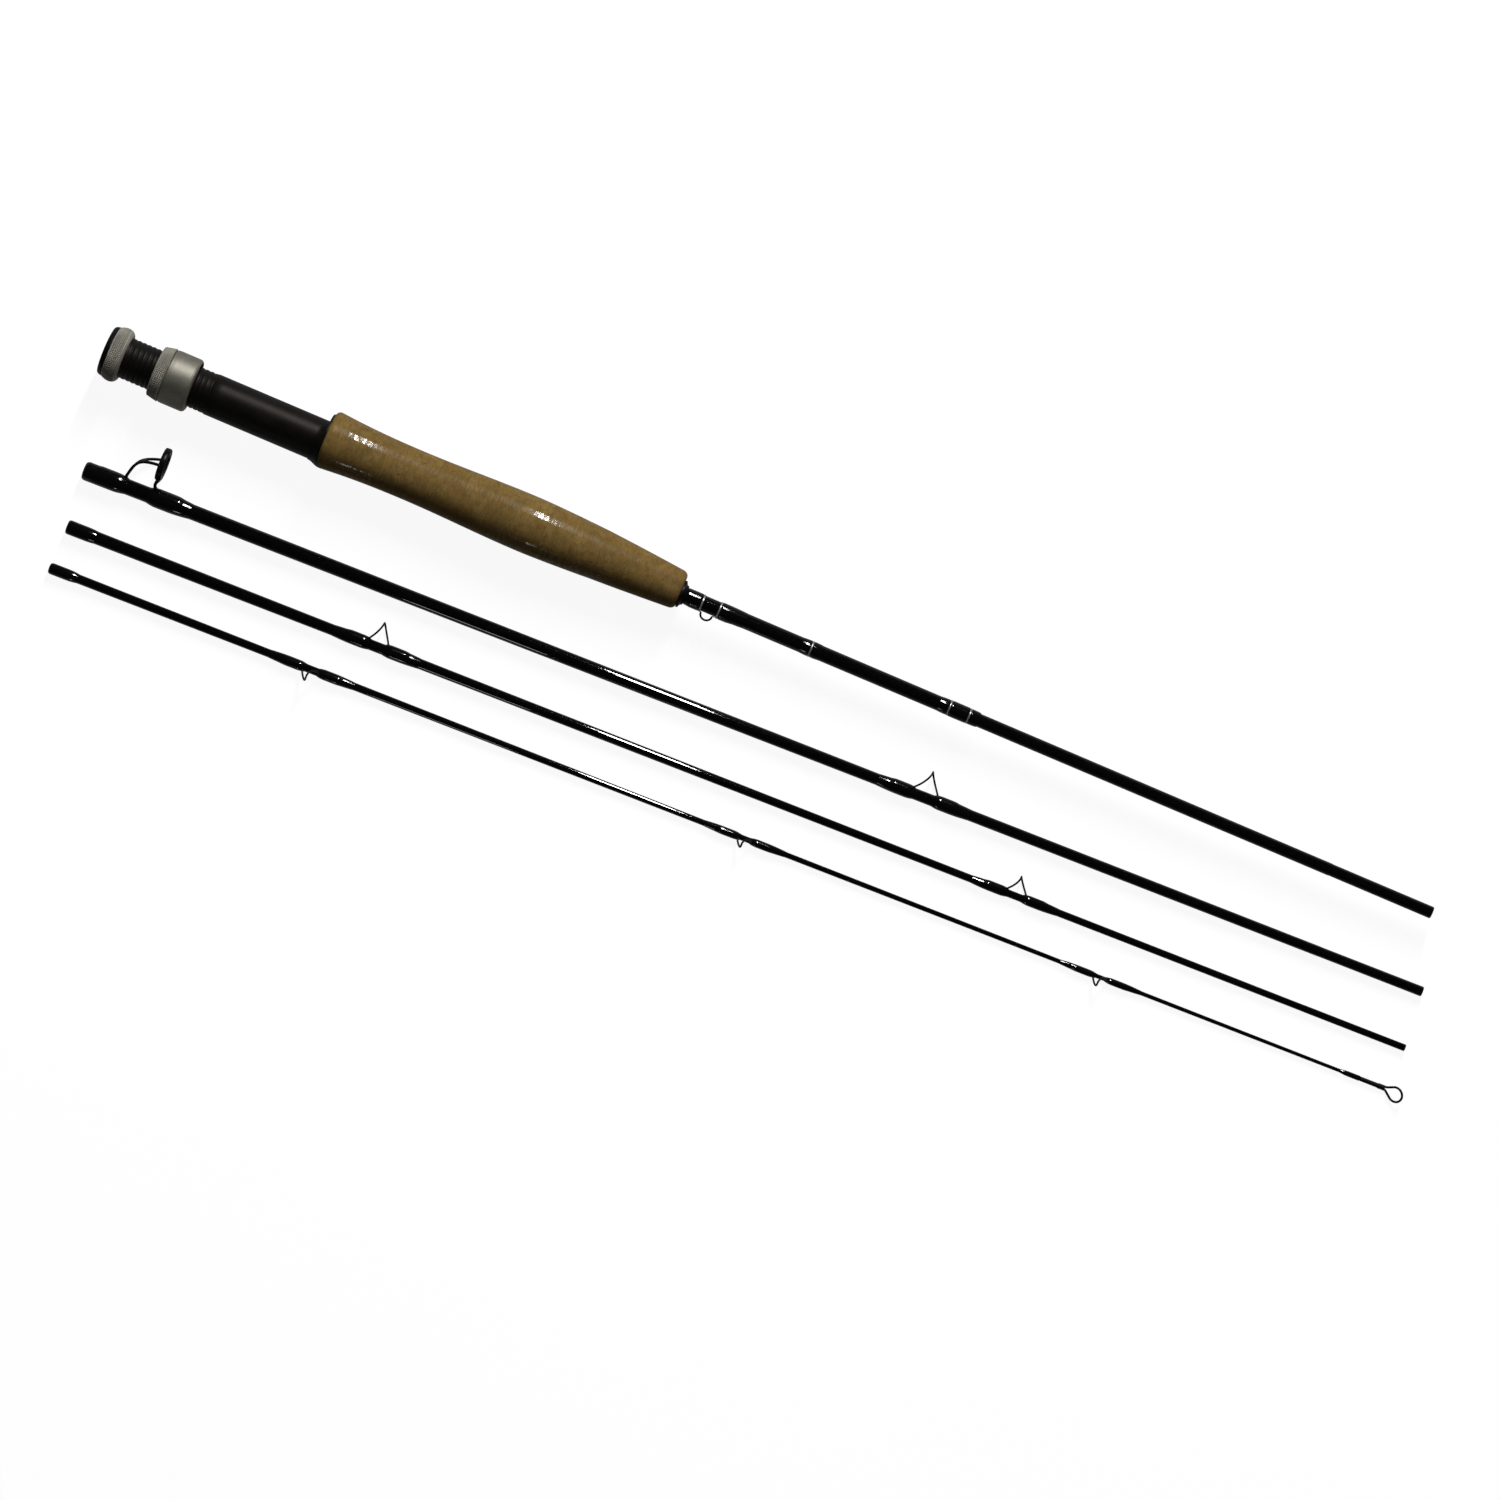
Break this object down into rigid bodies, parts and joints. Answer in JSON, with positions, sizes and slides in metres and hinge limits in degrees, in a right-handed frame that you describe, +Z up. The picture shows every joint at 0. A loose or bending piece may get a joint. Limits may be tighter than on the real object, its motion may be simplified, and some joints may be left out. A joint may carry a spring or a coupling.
{
  "type": "four-piece fly fishing rod",
  "caption": "Four-piece fly rod taken apart: butt section with cork grip and empty screw-locking reel seat, two middle sections and a tip section with wire guides.",
  "frame": {"origin": "centre of the footprint of the four sections as they lie, on the surface under them", "axes": "+X along the sections towards their tips, +Y from the tip section to the butt section, +Z up"},
  "size_m": [0.6212, 0.111, 0.0252],
  "materials": {
    "cap_black": "satin moulded",
    "seat_silver": "satin, partly knurled",
    "seat_black": "satin black anodised",
    "cork": "natural cork, sanded",
    "arbor": "foam, not visible",
    "blank_black": "gloss lacquered graphite composite",
    "wrap_black": "black thread under clear epoxy",
    "band_silver": "metallic thread under clear epoxy",
    "guide_black": "black plated wire",
    "guide_ring": "polished dark ceramic"
  },
  "bodies": {
    "butt_section": {"butt_cap": "cap_black", "butt_ring": "seat_silver", "reel_seat_barrel": "seat_black", "reel_seat_arbors": "arbor", "fixed_hood": "seat_black", "cork_ring_01": "cork", "cork_ring_02": "cork", "cork_ring_03": "cork", "cork_ring_04": "cork", "cork_ring_05": "cork", "cork_ring_06": "cork", "cork_ring_07": "cork", "cork_ring_08": "cork", "cork_ring_09": "cork", "cork_ring_10": "cork", "cork_ring_11": "cork", "cork_ring_12": "cork", "cork_ring_13": "cork", "winding_check": "seat_black", "butt_blank": "blank_black", "finish_coat": "blank_black", "handle_wraps": "wrap_black", "trim_bands": "band_silver", "hook_keeper": "guide_black"},
    "sliding_hood": {"sliding_hood": "seat_silver", "hood_snap_ring": "seat_silver"},
    "locking_ring": {"locking_ring": "seat_silver"},
    "second_section": {"second_blank": "blank_black", "second_ferrule_wrap": "wrap_black", "stripping_guide_frame": "guide_black", "stripping_guide_insert": "guide_ring", "stripping_guide_wrap": "wrap_black", "snake_guide_1": "guide_black", "snake_wraps_1": "wrap_black"},
    "third_section": {"third_blank": "blank_black", "third_ferrule_wrap": "wrap_black", "snake_guide_2": "guide_black", "snake_wraps_2": "wrap_black", "snake_guide_3": "guide_black", "snake_wraps_3": "wrap_black"},
    "tip_section": {"tip_blank": "blank_black", "tip_ferrule_wrap": "wrap_black", "snake_guide_4": "guide_black", "snake_wraps_4": "wrap_black", "snake_guide_5": "guide_black", "snake_wraps_5": "wrap_black", "snake_guide_6": "guide_black", "snake_wraps_6": "wrap_black", "tip_top_tube": "guide_black", "tip_top_loop": "guide_black", "tip_top_wrap": "wrap_black"}
  },
  "joints": [
    {"name": "hood_slide", "type": "slide", "parent": "butt_section", "child": "sliding_hood", "axis": [0.9995, -0.03, -0.0045], "range_m": [-0.0134, 0.0196]},
    {"name": "locking_ring_turn", "type": "hinge", "parent": "sliding_hood", "child": "locking_ring", "pos_m": [-0.28538, 0.04303, 0.01294], "axis": [0.9995, -0.03, -0.0045], "range_deg": [-2190, 3200]},
    {"name": "second_lift", "type": "slide", "parent": "butt_section", "child": "second_section", "axis": [0, 0, 1], "range_m": [0, 0.1]},
    {"name": "third_lift", "type": "slide", "parent": "butt_section", "child": "third_section", "axis": [0, 0, 1], "range_m": [0, 0.1]},
    {"name": "tip_lift", "type": "slide", "parent": "butt_section", "child": "tip_section", "axis": [0, 0, 1], "range_m": [0, 0.1]}
  ],
  "couplings": [
    {"joint": "hood_slide", "follows": "locking_ring_turn", "m_per_rad": 0.00035014}
  ]
}
